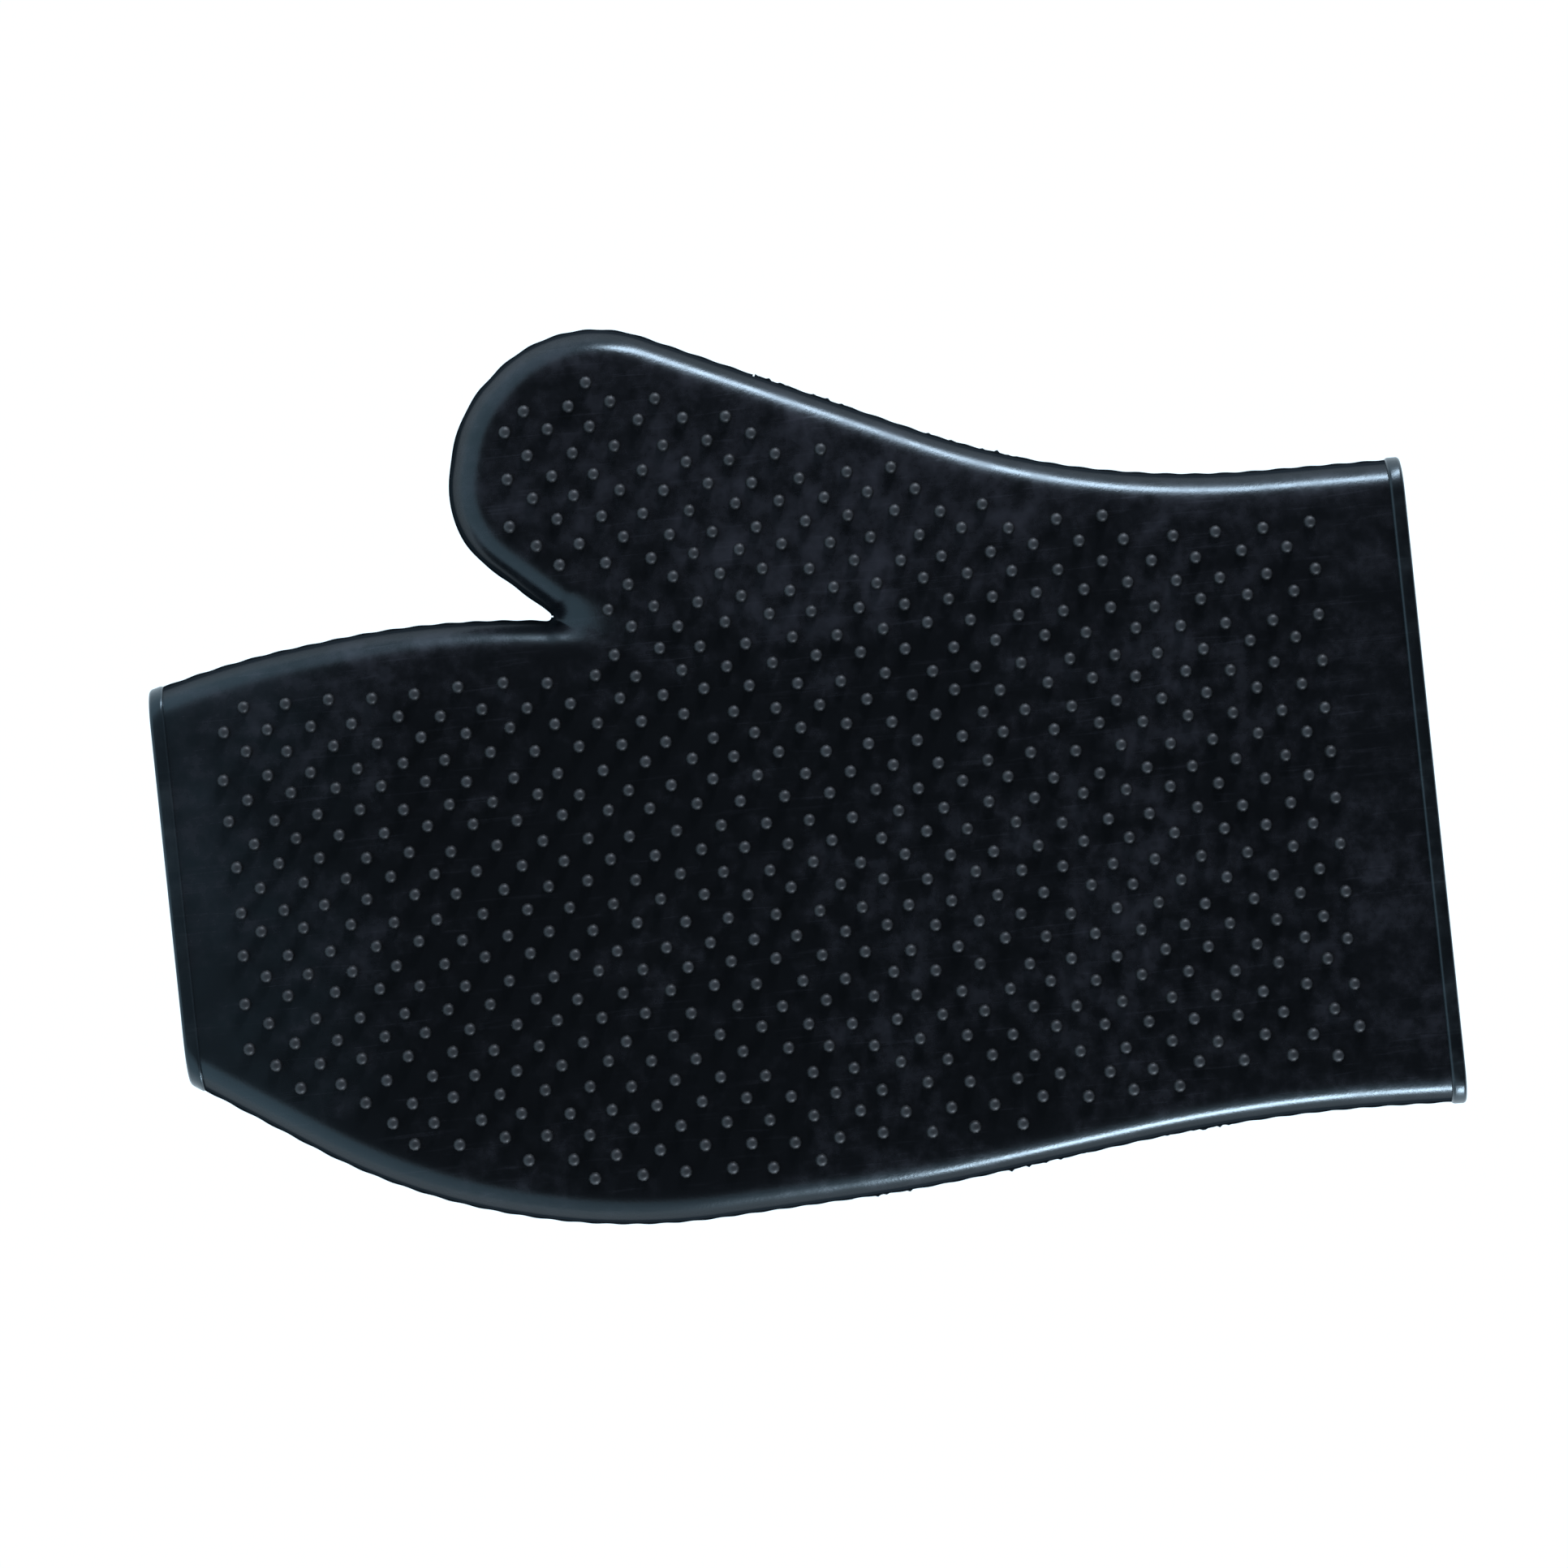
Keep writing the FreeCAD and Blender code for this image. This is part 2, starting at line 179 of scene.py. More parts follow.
def half_skin(facing):
    """One half's closed wall as a bmesh: facing is 1 for the palm and -1 for the back."""
    rows, grid_normals = [], []
    rise = np.linspace(0, math.pi / 2, shoulder_rows)
    for side, outward in ((thumb_side, thumb_side_outward), (little_side, little_side_outward)):
        flat = side[None] - (shoulder * (1 - np.cos(rise)))[:, None, None] * outward[None]
        height = np.maximum(shoulder_height * np.sin(rise), parting_gap)
        lift = (np.sin(rise) ** 2)[:, None] * sag(flat[..., 0], flat[..., 1])
        z = parting_z + facing * (height[:, None] + lift)
        rows.append(np.concatenate([flat, z[..., None]], axis=2))
        across = np.cos(rise)[:, None, None] * outward[None]
        up = np.broadcast_to(facing * np.sin(rise)[:, None, None], across.shape[:2] + (1,))
        grid_normals.append(np.concatenate([across, up], axis=2))

    rim = np.concatenate([rows[0][-1], rows[1][-1][::-1]])[:, :2]
    low, high = rim.min(0), rim.max(0)
    grid = []
    for spacing, near_notch in ((coarse_grid, False), (fine_grid, True)):
        lattice = np.array([(x, y) for x in np.arange(low[0], high[0], spacing)
                            for y in np.arange(low[1], high[1], spacing)])
        close = np.hypot(*(lattice - notch_centre).T) < fine_grid_reach
        grid.append(lattice[close == near_notch])
    grid = np.concatenate(grid)
    edge_start, edge_end = rim, np.roll(rim, -1, axis=0)
    crossing = ((edge_start[None, :, 1] > grid[:, None, 1]) != (edge_end[None, :, 1] > grid[:, None, 1]))
    rise_y = np.where(edge_end[:, 1] == edge_start[:, 1], 1e-12, edge_end[:, 1] - edge_start[:, 1])
    cross_x = (edge_end[:, 0] - edge_start[:, 0]) * (grid[:, None, 1] - edge_start[:, 1]) / rise_y + edge_start[:, 0]
    inside = (crossing & (grid[:, None, 0] < cross_x)).sum(1) % 2 == 1
    clear = np.array([np.hypot(*(rim - point).T).min() > 0.7 * mm for point in grid])
    middle = grid[inside & clear]
    flat = np.concatenate([rim, middle])
    loop = list(range(len(rim)))
    _, _, faces, sources, _, _ = delaunay_2d_cdt(
        [Vector(p) for p in flat], [], [loop], 1, 1e-7)

    outer, normal = [], []
    strips = []
    for grid_rows, grid_normal in zip(rows, grid_normals):
        count = grid_rows.shape[1]
        base = sum(len(part) for part in outer)
        outer.append(grid_rows.reshape(-1, 3))
        normal.append(grid_normal.reshape(-1, 3))
        quads = [(base + row * count + i, base + row * count + i + 1,
                  base + (row + 1) * count + i + 1, base + (row + 1) * count + i)
                 for row in range(shoulder_rows - 1) for i in range(count - 1)]
        strips.append((base, count, quads))
    top_a = [strips[0][0] + (shoulder_rows - 1) * strips[0][1] + i for i in range(strips[0][1])]
    top_b = [strips[1][0] + (shoulder_rows - 1) * strips[1][1] + i for i in range(strips[1][1])][::-1]
    rim_index = top_a + top_b
    base = sum(len(part) for part in outer)
    middle_z = parting_z + facing * (shoulder_height + sag(middle[:, 0], middle[:, 1]))
    outer.append(np.column_stack([middle, middle_z]))
    normal.append(np.tile((0, 0, facing), (len(middle), 1)))
    index = [rim_index[s[0]] if s[0] < len(rim) else base + s[0] - len(rim) for s in sources]
    fill = [tuple(index[i] for i in face) for face in faces]
    outer, normal = np.concatenate(outer), np.concatenate(normal)
    # thumb-side quads wind one way, little-finger-side quads and the fill the other
    quads = [q if facing > 0 else q[::-1] for q in strips[0][2]]
    quads += [q[::-1] if facing > 0 else q for q in strips[1][2]]
    fill = [f if facing > 0 else f[::-1] for f in fill]
    shell = quads + fill
    count = len(outer)
    inner = outer - normal * wall
    inner[:, 2] = np.where(np.abs(normal[:, 2]) < 1e-6, outer[:, 2], inner[:, 2])
    dip = facing * valley(outer[:, 0], outer[:, 1])
    outer[:, 2] -= dip
    inner[:, 2] -= dip
    faces = shell + [tuple(i + count for i in face[::-1]) for face in shell]
    for base, length, _ in strips:
        reverse = (base != 0) == (facing > 0)
        for i in range(length - 1):
            seat = (base + i, base + i + 1, base + i + 1 + count, base + i + count)
            faces.append(seat if reverse else seat[::-1])
    mesh = bpy.data.meshes.new("half")
    mesh.from_pydata(np.concatenate([outer, inner]).tolist(), [], faces)
    half = bmesh.new()
    half.from_mesh(mesh)
    bpy.data.meshes.remove(mesh)
    return half


def trim(half, point, outward, cut_faces=None, keep=None):
    """Cuts a closed wall at a plane, drops what lies outside it and closes the cut."""
    chosen = cut_faces if cut_faces is not None else half.faces[:]
    edges = {e for f in chosen for e in f.edges}
    verts = {v for f in chosen for v in f.verts}
    bmesh.ops.bisect_plane(half, geom=list(chosen) + list(edges) + list(verts), dist=1e-7,
                           plane_co=point, plane_no=outward)
    beyond = keep or (lambda centre: (centre - point).dot(outward) > 0)
    bmesh.ops.delete(half, geom=[f for f in half.faces if beyond(f.calc_center_median())], context="FACES")
    bmesh.ops.contextual_create(half, geom=[e for e in half.edges if e.is_boundary])


def on_thumb(centre):
    """Whether a point lies on the thumb's side of its root."""
    place = centre.xy - web_notch
    return place.dot(thumb_way) > 0 and place.dot(above_web) > 0


def skin_pieces(facing, hand_name, thumb_name):
    """The hand's and the thumb's skin objects for one half."""
    pieces = []
    for name, on_hand in ((hand_name, True), (thumb_name, False)):
        half = half_skin(facing)
        for end, outward, bead in ((cuff_end, 1, cuff_bead_width), (finger_end, -1, finger_bead_width)):
            trim(half, Vector((end - outward * (bead - bead_lap), 0, 0)), Vector((outward, 0, 0)))
        near = [f for f in half.faces if (f.calc_center_median().xy - web_notch).dot(above_web) > -2 * mm]
        drop = on_thumb if on_hand else (lambda centre: not on_thumb(centre))
        trim(half, web_notch.to_3d(), thumb_way.to_3d(), near, drop)
        mesh = bpy.data.meshes.new(name)
        half.to_mesh(mesh)
        half.free()
        mesh.shade_smooth()
        mesh.set_sharp_from_angle(angle=crisp_edge)
        piece = bpy.data.objects.new(name, mesh)
        bpy.context.collection.objects.link(piece)
        pieces.append(piece)
    return pieces


palm_skin, thumb_palm_skin = skin_pieces(1, "palm_skin", "thumb_palm_skin")
back_skin, thumb_back_skin = skin_pieces(-1, "back_skin", "thumb_back_skin")


def node(tree, kind, settings=None, inputs=None):
    """Adds a node, with its settings by name and its inputs' values or links by name or number."""
    added = tree.nodes.new(kind)
    for name, value in (settings or {}).items():
        setattr(added, name, value)
    for name, value in (inputs or {}).items():
        socket = added.inputs[name]
        if isinstance(value, bpy.types.NodeSocket):
            tree.links.new(value, socket)
        else:
            socket.default_value = value
    return added


def linear(code):
    """An sRGB hex colour as linear RGBA."""
    parts = [int(code[i:i + 2], 16) / 255 for i in (1, 3, 5)]
    return [p / 12.92 if p <= 0.04045 else ((p + 0.055) / 1.055) ** 2.4 for p in parts] + [1.0]


def moulded_black_rubber(name, base, bloom, bloom_amount, roughness):
    """Vulcanised black rubber: an even dark body with cloudy grey bloom and fine handling scuffs, plus a painted grey
    sheen towards the fingertip mouth and painted shade in the reflection near the parting line.
    """
    material = bpy.data.materials.new(name)
    material.use_nodes = True
    tree = material.node_tree
    shader = tree.nodes["Principled BSDF"]
    shader.inputs["IOR"].default_value = 1.52
    shader.inputs["Specular Tint"].default_value = linear("#dcf4ff")
    place = node(tree, "ShaderNodeTexCoord").outputs["Object"]
    axes = node(tree, "ShaderNodeSeparateXYZ", inputs={"Vector": place})
    along = axes.outputs["X"]
    # clouds of bloom some 45 mm across, broken up by mottling of 5 mm, thicker towards the wrist and the thumb
    clouds = node(tree, "ShaderNodeTexNoise",
                  inputs={"Vector": place, "Scale": 22.0, "Detail": 6.0, "Roughness": 0.66})
    mottling = node(tree, "ShaderNodeTexNoise",
                    inputs={"Vector": place, "Scale": 170.0, "Detail": 4.0, "Roughness": 0.62})
    wrist = node(tree, "ShaderNodeMapRange", {"interpolation_type": "SMOOTHSTEP"},
                 {"Value": along, "From Min": -0.04, "From Max": 0.10, "To Min": 0.0, "To Max": 0.01})
    thumb_side_bloom = node(tree, "ShaderNodeMapRange", {"interpolation_type": "SMOOTHSTEP"},
                            {"Value": axes.outputs["Y"], "From Min": 0.0, "From Max": 0.05,
                             "To Min": 0.0, "To Max": 0.07})
    thicker = node(tree, "ShaderNodeMath", {"operation": "ADD"}, {0: wrist.outputs[0], 1: thumb_side_bloom.outputs[0]})
    mixed = node(tree, "ShaderNodeMath", {"operation": "MULTIPLY_ADD"},
                 {0: clouds.outputs["Fac"], 1: mottling.outputs["Fac"], 2: thicker.outputs[0]})
    cloudy = node(tree, "ShaderNodeMapRange", {"interpolation_type": "SMOOTHSTEP"},
                  {"Value": mixed.outputs[0], "From Min": 0.21, "From Max": 0.56,
                   "To Min": 0.0, "To Max": bloom_amount})
    # painted sheen: the base colour turns grey where the fingertips leave the mitt, standing in for a reflection there
    painted_finger_sheen = node(tree, "ShaderNodeMapRange", {"interpolation_type": "SMOOTHSTEP"},
                {"Value": along, "From Min": -0.13, "From Max": -0.075, "To Min": 1.0, "To Max": 0.0})
    sheen_clouds = node(tree, "ShaderNodeTexNoise", inputs={"Vector": place, "Scale": 45.0, "Detail": 2.0})
    sheen_breakup = node(tree, "ShaderNodeMapRange", inputs={"Value": sheen_clouds.outputs["Fac"], "From Min": 0.35,
                                                         "From Max": 0.62, "To Min": 0.22, "To Max": 0.62})
    sheen_amount = node(tree, "ShaderNodeMath", {"operation": "MULTIPLY"}, {0: painted_finger_sheen.outputs[0], 1: sheen_breakup.outputs[0]})
    body = node(tree, "ShaderNodeMix", {"data_type": "RGBA"}, {"Factor": sheen_amount.outputs[0]})
    body.inputs["A"].default_value = linear(base)
    body.inputs["B"].default_value = linear("#293338")
    # hairline scuffs a few centimetres long, thickest where the bloom is
    lie = node(tree, "ShaderNodeMapping", inputs={"Vector": place})
    lie.inputs["Rotation"].default_value = (0.0, 0.0, 0.35)
    lie.inputs["Scale"].default_value = (70.0, 1300.0, 70.0)
    lines = node(tree, "ShaderNodeTexNoise",
                 inputs={"Vector": lie.outputs[0], "Scale": 1.0, "Detail": 2.0, "Distortion": 0.6})
    scuffs = node(tree, "ShaderNodeMapRange", inputs={"Value": lines.outputs["Fac"], "From Min": 0.61, "From Max": 0.75,
                                                      "To Min": 0.0, "To Max": 0.8})
    amount = node(tree, "ShaderNodeMath", {"operation": "MULTIPLY_ADD", "use_clamp": True},
                  {0: scuffs.outputs[0], 1: mixed.outputs[0], 2: cloudy.outputs[0]})
    colour = node(tree, "ShaderNodeMix", {"data_type": "RGBA"},
                  {"Factor": amount.outputs[0], "A": body.outputs["Result"]})
    colour.inputs["B"].default_value = linear(bloom)
    gloss = node(tree, "ShaderNodeMapRange", inputs={"Value": amount.outputs[0], "From Min": 0.0, "From Max": 0.6,
                                                     "To Min": roughness, "To Max": roughness + 0.1})
    tree.links.new(gloss.outputs[0], shader.inputs["Roughness"])
    # over the last few millimetres towards the parting line the reflection is turned down, a painted shade standing in
    # for the shaded floor beside the mitt, and the base colour turns grey
    margin = node(tree, "ShaderNodeAttribute", {"attribute_name": "edge_margin"})
    painted_edge_shade = node(tree, "ShaderNodeMapRange", {"interpolation_type": "SMOOTHSTEP"},
                  {"Value": margin.outputs["Fac"], "From Min": 0.5 * mm, "From Max": 3.2 * mm,
                   "To Min": 0.0, "To Max": 0.5})
    tree.links.new(painted_edge_shade.outputs[0], shader.inputs["Specular IOR Level"])
    edge_greying = node(tree, "ShaderNodeMapRange", {"interpolation_type": "SMOOTHSTEP"},
                   {"Value": margin.outputs["Fac"], "From Min": 0.0, "From Max": 3.0 * mm,
                    "To Min": 1.0, "To Max": 0.0})
    edge_greyed = node(tree, "ShaderNodeMix", {"data_type": "RGBA"},
                  {"Factor": edge_greying.outputs[0], "A": colour.outputs["Result"]})
    edge_greyed.inputs["B"].default_value = linear("#1b2024")
    tree.links.new(edge_greyed.outputs["Result"], shader.inputs["Base Color"])
    # skin of the mould: a faint unevenness of about half a millimetre
    grain = node(tree, "ShaderNodeTexNoise", inputs={"Vector": place, "Scale": 1800.0, "Detail": 2.0})
    bump = node(tree, "ShaderNodeBump", inputs={"Strength": 0.1, "Distance": 0.0002, "Height": grain.outputs["Fac"]})
    tree.links.new(bump.outputs["Normal"], shader.inputs["Normal"])
    return material


palm_rubber = moulded_black_rubber("palm rubber, black vulcanised", "#101114", "#37363d", 0.85, 0.23)
back_rubber = moulded_black_rubber("back rubber, black vulcanised", "#0e0e11", "#35343b", 0.6, 0.26)
for piece, material in ((palm_skin, palm_rubber), (thumb_palm_skin, palm_rubber),
                        (back_skin, back_rubber), (thumb_back_skin, back_rubber)):
    piece.data.materials.append(material)


def bend_with_fingers(piece):
    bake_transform(piece)


def bend_with_thumb(piece):
    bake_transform(piece)


bend_with_fingers(palm_skin)
bend_with_fingers(back_skin)
bend_with_thumb(thumb_palm_skin)
bend_with_thumb(thumb_back_skin)
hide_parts("hand_palm_shell", "fingers_palm_shell")
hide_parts("hand_back_shell", "fingers_back_shell")
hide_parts("thumb_palm_shell")
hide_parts("thumb_back_shell")

# ---------------------------------------------------------------- beads round the mouths
# A thicker rolled rim is moulded round the wrist mouth and round the fingertip mouth, so that
# the thin wall doesn't tear.  Each is in two halves that meet at the parting line.

bead_rounding = 0.7 * mm
cuff_bead_proud, finger_bead_proud = 0.7 * mm, 0.6 * mm


def swept_piece(name, verts, count, stations, sharp):
    """A closed piece from one section of count points after another, capped at both ends."""
    faces = [(s * count + i, s * count + (i + 1) % count, (s + 1) * count + (i + 1) % count, (s + 1) * count + i)
             for s in range(stations - 1) for i in range(count)]
    faces += [tuple(range(count)), tuple(range((stations - 1) * count, stations * count))]
    mesh = bpy.data.meshes.new(name)
    mesh.from_pydata(verts, [], faces)
    shape = bmesh.new()
    shape.from_mesh(mesh)
    bmesh.ops.recalc_face_normals(shape, faces=shape.faces)
    shape.to_mesh(mesh)
    shape.free()
    mesh.shade_smooth()
    mesh.set_sharp_from_angle(angle=sharp)
    piece = bpy.data.objects.new(name, mesh)
    bpy.context.collection.objects.link(piece)
    return piece


def mouth_bead(name, end, outward, width, proud, facing):
    """Half of a bead: its rounded section carried round one half of the mouth."""
    sides = []
    for side, normals in ((thumb_side, thumb_side_outward), (little_side, little_side_outward)):
        order = np.argsort(np.abs(side[:, 0] - end))
        here = order[0]
        beside = here + (1 if abs(side[here + 1, 0]) < abs(end) else -1)
        slope = (side[beside, 1] - side[here, 1]) / (side[beside, 0] - side[here, 0])
        sides.append((side[here], slope, normals[here]))
    turn = np.linspace(0, math.pi / 2, 5)
    section = [(0.0, -wall), (0.0, proud - bead_rounding)]
    section += [(bead_rounding * (1 - math.cos(t)), proud - bead_rounding * (1 - math.sin(t))) for t in turn[1:]]
    section += [(width - bead_rounding * (1 - math.sin(t)), proud - bead_rounding * (1 - math.cos(t)))
                for t in turn[:-1]]
    section += [(width, proud - bead_rounding), (width, -wall)]
    rise = np.linspace(0, math.pi / 2, shoulder_rows)
    verts = []
    stations = [(0, r) for r in rise] + [(None, f) for f in np.linspace(0, 1, 42)[1:-1]] + [(1, r) for r in rise[::-1]]

    def surface(which, angle, x, h):
        start, slope, normal = sides[which]
        depth = shoulder * (1 - math.cos(angle)) - h * math.cos(angle)
        on_side = x + depth * normal[0]
        y = start[1] + slope * (on_side - start[0]) - depth * normal[1]
        z = max(shoulder_height * math.sin(angle), parting_gap if angle == 0 else 0) + h * math.sin(angle)
        return y, z

    for which, value in stations:
        for along, h in section:
            x = end - outward * along
            if which is None:
                (ya, z), (yb, _) = surface(0, math.pi / 2, x, h), surface(1, math.pi / 2, x, h)
                y = ya + (yb - ya) * value
            else:
                y, z = surface(which, value, x, h)
            verts.append((x, y, parting_z + facing * (z + sag(x, y) * min(1.0, z / shoulder_height) ** 2)))
    return swept_piece(name, verts, len(section), len(stations), crisp_edge)


def mark_margin(piece, margin):
    """Gives every point of a piece the same distance from the parting line."""
    attribute = piece.data.attributes.new("edge_margin", "FLOAT", "POINT")
    attribute.data.foreach_set("value", np.full(len(piece.data.vertices), margin, np.float32))


bead_rubber = moulded_black_rubber("bead rubber, black vulcanised", "#101316", "#3a3f43", 0.6, 0.28)
for half_name, facing in (("palm", 1), ("back", -1)):
    cuff_bead = mouth_bead("cuff_bead_" + half_name + "_half", cuff_end, 1,
                           cuff_bead_width, cuff_bead_proud, facing)
    finger_bead = mouth_bead("finger_bead_" + half_name + "_half", finger_end, -1,
                             finger_bead_width, finger_bead_proud, facing)
    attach(cuff_bead, "hand")
    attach(finger_bead, "fingers")
    for piece, cad_node in ((cuff_bead, "cuff_bead_" + half_name), (finger_bead, "finger_bead_" + half_name)):
        mark_margin(piece, 5 * mm)
        piece.data.materials.append(bead_rubber)
        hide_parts(cad_node)

# ---------------------------------------------------------------- parting flash
# Where the two halves were pressed together a thin fin of rubber squeezed out.  It was trimmed
# by hand, so its edge is ragged, with small nibs where the trimming missed.

flash_thickness = 0.5 * mm
flash_proud = 0.35 * mm
nib_reach = 0.75 * mm


def flash_fin(name, side, outward, first, last, ragged_from=1.0, ragged_to=1.0):
    """The fin between two places, counted along the side's points, as a closed strip."""
    spot, spot_out = side[first:last + 1], outward[first:last + 1]
    gaps = np.hypot(*np.diff(spot, axis=0).T)
    travel = np.concatenate([[0], np.cumsum(gaps)])
    fine = np.arange(0, travel[-1], 0.6 * mm)
    x, y = (np.interp(fine, travel, spot[:, axis]) for axis in (0, 1))
    nx, ny = (np.interp(fine, travel, spot_out[:, axis]) for axis in (0, 1))
    rough = np.sin(x * 2900 + 3 * np.sin(x * 710)) * np.sin(x * 1730 + y * 900)
    stretch = ((x > ragged_from) & (x < ragged_to)) * np.clip(np.sin(x * 190) + 0.6, 0, 1)
    reach = flash_proud + nib_reach * np.clip(rough - 0.45, 0, 1) * stretch + 0.08 * mm * np.sin(x * 1100)
    strip = []
    for i in range(len(fine)):
        section = ((wall, 0.5), (-0.1 * mm, 0.5), (-reach[i] * 0.8, 0.3), (-reach[i], 0.12),
                   (-reach[i], -0.12), (-reach[i] * 0.8, -0.3), (-0.1 * mm, -0.5), (wall, -0.5))
        for depth, half in section:
            strip.append((x[i] - depth * nx[i], y[i] - depth * ny[i], parting_z + half * flash_thickness))
    return swept_piece(name, strip, len(section), len(fine), math.radians(60))


inside_mouths = (thumb_side[:, 0] > finger_end) & (thumb_side[:, 0] < cuff_end)
first, last = np.flatnonzero(inside_mouths)[[0, -1]]
thumb_reach = (thumb_side - np.array(web_notch)) @ np.array(thumb_way) > 0
above = (thumb_side - np.array(web_notch)) @ np.array(above_web) > 0
on_thumb_side = np.flatnonzero(thumb_reach & above)
thumb_starts, thumb_ends = on_thumb_side[0], on_thumb_side[-1]
flash_rubber = moulded_black_rubber("flash rubber, trimmed", "#0b0c0e", "#2c2d31", 0.5, 0.5)
little_first, little_last = np.flatnonzero((little_side[:, 0] > finger_end) & (little_side[:, 0] < cuff_end))[[0, -1]]
wrist_flash = flash_fin("thumb_side_flash", thumb_side, thumb_side_outward, first, thumb_starts, -0.012, 0.058)
thumb_flash = flash_fin("thumb_flash", thumb_side, thumb_side_outward, thumb_starts, thumb_ends)
index_flash = flash_fin("index_side_flash", thumb_side, thumb_side_outward, thumb_ends, last)
little_flash = flash_fin("little_side_flash", little_side, little_side_outward, little_first, little_last, 0.0, 0.105)
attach(wrist_flash, "hand")
bend_with_thumb(thumb_flash)
bend_with_fingers(index_flash)
bend_with_fingers(little_flash)
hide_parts("seam_hand_thumb_side")
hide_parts("seam_thumb")
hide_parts("seam_web", "seam_fingers_thumb_side")
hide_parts("seam_hand_little_side", "seam_fingers_little_side")
for piece in (wrist_flash, thumb_flash, index_flash, little_flash):
    mark_margin(piece, 0.6 * mm)
    piece.data.materials.append(flash_rubber)

# ---------------------------------------------------------------- nubs
# Hundreds of short rubber pips stand on both faces, in staggered rows, moulded in one with the
# skin.  The palm's are fine and rounded; the back's are coarse, blunt and twice as far apart.

nub_pitch = 9.1 * mm
nub_row = 4.61 * mm
pattern_start = Vector((2.1, 6.1)) * mm
pattern_tilt = math.radians(-1.1)
pattern_lean = -0.0112             # the columns lean this much against the rows
pattern_growth = 0.127             # the rows open out towards the cuff, per metre
field_start, field_end = finger_end + 12.5 * mm, cuff_end - 18.5 * mm
finger_corner = (-0.036, 0.0242, 0.0)   # no fine nubs beyond this, on the index side of the fingers
no_corner = (-1.0, 1.0, 0.0)

nub_tree = bpy.data.node_groups.new("staggered nubs", "GeometryNodeTree")
sockets = nub_tree.interface
sockets.new_socket("Geometry", in_out="INPUT", socket_type="NodeSocketGeometry")
nub_inputs = {}
for name, kind in (("Pitch", "NodeSocketFloat"), ("Row", "NodeSocketFloat"), ("Start", "NodeSocketVector"),
                   ("Tilt", "NodeSocketFloat"), ("Lean", "NodeSocketFloat"), ("Growth", "NodeSocketFloat"),
                   ("Scatter", "NodeSocketFloat"), ("Seed", "NodeSocketInt"), ("Edge margin", "NodeSocketFloat"),
                   ("Lowest X", "NodeSocketFloat"), ("Highest X", "NodeSocketFloat"),
                   ("Finger corner", "NodeSocketVector"),
                   ("Radius", "NodeSocketFloat"), ("Height", "NodeSocketFloat"), ("Facing", "NodeSocketFloat"),
                   ("Material", "NodeSocketMaterial"), ("Nub", "NodeSocketObject")):
    nub_inputs[name] = sockets.new_socket(name, in_out="INPUT", socket_type=kind).identifier
sockets.new_socket("Geometry", in_out="OUTPUT", socket_type="NodeSocketGeometry")
into = node(nub_tree, "NodeGroupInput")


def sum_of(kind, a, b):
    return node(nub_tree, "ShaderNodeMath", {"operation": kind}, {0: a, 1: b}).outputs[0]


rows_each_way, columns_each_way = 30, 20
lattice = node(nub_tree, "GeometryNodeMeshGrid", inputs={"Vertices X": 2 * columns_each_way + 1,
                                                        "Vertices Y": 2 * rows_each_way + 1})
index = node(nub_tree, "GeometryNodeInputIndex").outputs[0]
column = sum_of("SUBTRACT", sum_of("FLOOR", sum_of("DIVIDE", index, 2.0 * rows_each_way + 1), 0.0), columns_each_way)
row = sum_of("SUBTRACT", sum_of("MODULO", index, 2.0 * rows_each_way + 1), rows_each_way)
half_step = sum_of("MULTIPLY", sum_of("FLOORED_MODULO", row, 2.0), 0.5)
along = sum_of("MULTIPLY", sum_of("ADD", column, half_step), into.outputs["Pitch"])
across = sum_of("MULTIPLY", row, into.outputs["Row"])
leaning = sum_of("ADD", along, sum_of("MULTIPLY", across, into.outputs["Lean"]))
flat = node(nub_tree, "ShaderNodeCombineXYZ", inputs={"X": leaning, "Y": across})
turned = node(nub_tree, "ShaderNodeVectorRotate", {"rotation_type": "Z_AXIS"},
              {"Vector": flat.outputs[0], "Angle": into.outputs["Tilt"]})
placed = node(nub_tree, "ShaderNodeVectorMath", {"operation": "ADD"},
              {0: turned.outputs[0], 1: into.outputs["Start"]})
placed_x = node(nub_tree, "ShaderNodeSeparateXYZ", inputs={"Vector": placed.outputs[0]}).outputs["X"]
growth = sum_of("ADD", sum_of("MULTIPLY", placed_x, into.outputs["Growth"]), 1.0)
spread = node(nub_tree, "ShaderNodeVectorMath", {"operation": "SCALE"}, {0: placed.outputs[0], "Scale": growth})
chance = node(nub_tree, "FunctionNodeRandomValue", {"data_type": "FLOAT_VECTOR"},
              {0: (-1.0, -1.0, 0.0), 1: (1.0, 1.0, 0.0), "Seed": into.outputs["Seed"]})
astray = node(nub_tree, "ShaderNodeVectorMath", {"operation": "SCALE"},
              {0: chance.outputs[0], "Scale": into.outputs["Scatter"]})
drilled = node(nub_tree, "ShaderNodeVectorMath", {"operation": "ADD"}, {0: spread.outputs[0], 1: astray.outputs[0]})
above_face = node(nub_tree, "ShaderNodeCombineXYZ", inputs={"Z": sum_of("MULTIPLY", into.outputs["Facing"], 0.2)})
held = node(nub_tree, "GeometryNodeSetPosition", inputs={"Geometry": lattice.outputs["Mesh"],
                                                         "Position": drilled.outputs[0],
                                                         "Offset": above_face.outputs[0]})
towards = node(nub_tree, "ShaderNodeCombineXYZ", inputs={"Z": sum_of("MULTIPLY", into.outputs["Facing"], -1.0)})
margin = node(nub_tree, "GeometryNodeInputNamedAttribute", {"data_type": "FLOAT"}, {"Name": "edge_margin"})
